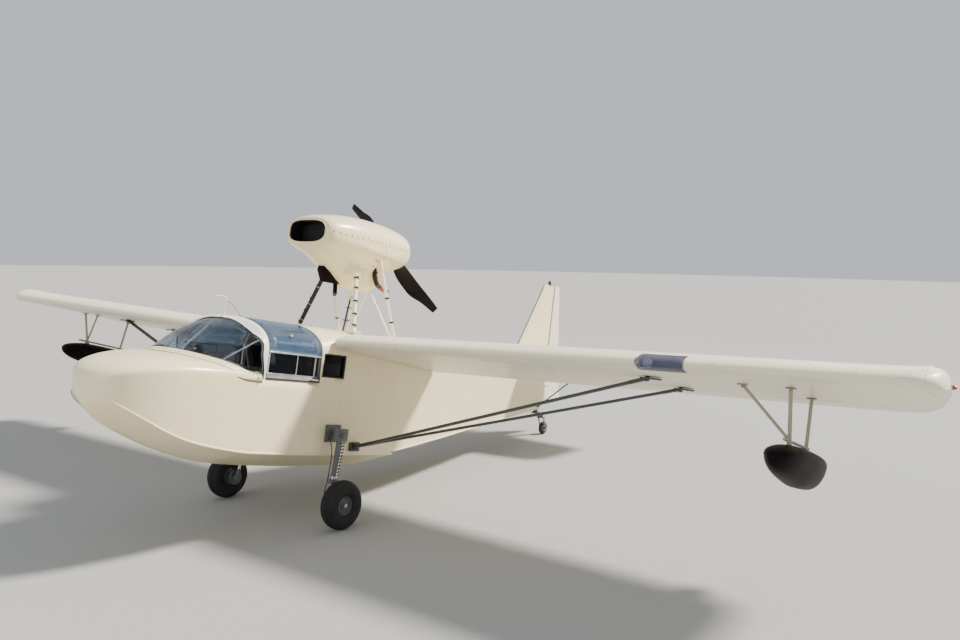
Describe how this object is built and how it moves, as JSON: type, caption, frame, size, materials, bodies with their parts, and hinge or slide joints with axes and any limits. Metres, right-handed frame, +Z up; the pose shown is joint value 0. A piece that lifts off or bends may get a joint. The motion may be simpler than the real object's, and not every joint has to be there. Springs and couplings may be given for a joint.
{
  "type": "flying boat",
  "caption": "Light strut-braced high-wing flying boat with a pusher propeller on tube struts, tip floats, lifting cabin doors and wheels beside the hull.",
  "frame": {"origin": "centre of the bounding box on the floor, with the aircraft parked on its three wheels", "axes": "+X to port along the wings, +Y aft, +Z up; the nose points to -Y and the hull is nose up by 9.9 degrees"},
  "size_m": [11.1808, 7.0566, 3.0175],
  "materials": {
    "hull_paint": "gloss",
    "cloth": "satin",
    "white_tube": "gloss",
    "float_black": "gloss",
    "tyre": "matte",
    "grey_metal": "satin",
    "strut_grey": "satin",
    "bare_metal": "satin",
    "prop_black": "satin",
    "rust": "matte",
    "iron": "matte",
    "panel": "matte",
    "seat_cloth": "matte",
    "red_lamp": "gloss",
    "green_lamp": "gloss",
    "clear_pane": "gloss",
    "tinted_pane": "gloss",
    "smoked_pane": "gloss",
    "cowl": "gloss"
  },
  "bodies": {
    "airframe": {"hull": "hull_paint", "windscreen_bow": "cowl", "roof_beam": "hull_paint", "windscreen": "clear_pane", "instrument_panel": "panel", "control_stick": "iron", "tailwheel_spring": "grey_metal", "fin": "hull_paint", "tailplane": "cloth", "engine_pod": "cowl", "engine": "iron", "mount_brace": "white_tube", "mount_conduit": "white_tube", "air_outlet": "prop_black", "beacon": "red_lamp", "pitot_mast": "bare_metal", "nav_lamp_port": "red_lamp", "nav_lamp_starboard": "green_lamp", "rear_window_port": "smoked_pane", "rear_window_starboard": "smoked_pane", "seat_port": "seat_cloth", "seat_starboard": "seat_cloth", "wing_port": "cloth", "wing_starboard": "cloth", "gear_leg_port": "grey_metal", "gear_leg_starboard": "grey_metal", "lift_strut_port": "strut_grey", "lift_strut_starboard": "strut_grey", "tail_strut_port": "strut_grey", "tail_strut_starboard": "strut_grey", "float_port": "float_black", "float_starboard": "float_black", "float_struts_port": "strut_grey", "float_struts_starboard": "strut_grey", "mount_tube_front_port": "white_tube", "mount_tube_front_starboard": "white_tube", "mount_tube_rear_port": "white_tube", "mount_tube_rear_starboard": "white_tube", "exhaust_port": "rust", "exhaust_starboard": "rust"},
    "propeller": {"propeller": "prop_black"},
    "wheel_port": {"tyre_port": "tyre", "rim_port": "grey_metal"},
    "wheel_starboard": {"tyre_starboard": "tyre", "rim_starboard": "grey_metal"},
    "tailwheel_fork": {"tailwheel_fork": "grey_metal"},
    "tailwheel": {"tailwheel": "tyre"},
    "rudder": {"rudder": "hull_paint"},
    "elevator": {"elevator": "cloth"},
    "aileron_port": {"aileron_port": "cloth"},
    "aileron_starboard": {"aileron_starboard": "cloth"},
    "door_port": {"door_port": "bare_metal", "door_glass_port": "tinted_pane"},
    "door_starboard": {"door_starboard": "bare_metal", "door_glass_starboard": "tinted_pane"}
  },
  "joints": [
    {"name": "propeller_spin", "type": "hinge", "parent": "airframe", "child": "propeller", "pos_m": [0, 0.01183, 2.44836], "axis": [0, 0.9853, -0.1711], "continuous": true},
    {"name": "wheel_port_spin", "type": "hinge", "parent": "airframe", "child": "wheel_port", "pos_m": [0.805, -1.53386, 0.22198], "axis": [1, 0, 0], "continuous": true},
    {"name": "wheel_starboard_spin", "type": "hinge", "parent": "airframe", "child": "wheel_starboard", "pos_m": [-0.805, -1.53386, 0.22198], "axis": [1, 0, 0], "continuous": true},
    {"name": "tailwheel_steer", "type": "hinge", "parent": "airframe", "child": "tailwheel_fork", "pos_m": [0, 3.08463, 0.28272], "axis": [0, 0.1711, 0.9853], "range_deg": [-30, 30]},
    {"name": "tailwheel_spin", "type": "hinge", "parent": "tailwheel_fork", "child": "tailwheel", "pos_m": [0, 3.1425, 0.08998], "axis": [1, 0, 0], "continuous": true},
    {"name": "rudder_hinge", "type": "hinge", "parent": "airframe", "child": "rudder", "pos_m": [0, 3.23601, 1.2714], "axis": [0, 0.1711, 0.9853], "range_deg": [-25, 25]},
    {"name": "elevator_hinge", "type": "hinge", "parent": "airframe", "child": "elevator", "pos_m": [0, 2.99587, 0.9406], "axis": [1, 0, 0], "range_deg": [-20, 25]},
    {"name": "aileron_port_hinge", "type": "hinge", "parent": "airframe", "child": "aileron_port", "pos_m": [4.01684, -0.1464, 1.44784], "axis": [0.9995, 0.0053, 0.0308], "range_deg": [-15, 25]},
    {"name": "aileron_starboard_hinge", "type": "hinge", "parent": "airframe", "child": "aileron_starboard", "pos_m": [-4.01684, -0.1464, 1.44784], "axis": [0.9995, -0.0053, -0.0308], "range_deg": [-15, 25]},
    {"name": "door_port_hinge", "type": "hinge", "parent": "airframe", "child": "door_port", "pos_m": [0.0433, -1.8134, 1.86198], "axis": [0, -0.9853, 0.1711], "range_deg": [0, 80]},
    {"name": "door_starboard_hinge", "type": "hinge", "parent": "airframe", "child": "door_starboard", "pos_m": [-0.0433, -1.8134, 1.86198], "axis": [0, 0.9853, -0.1711], "range_deg": [0, 80]}
  ]
}
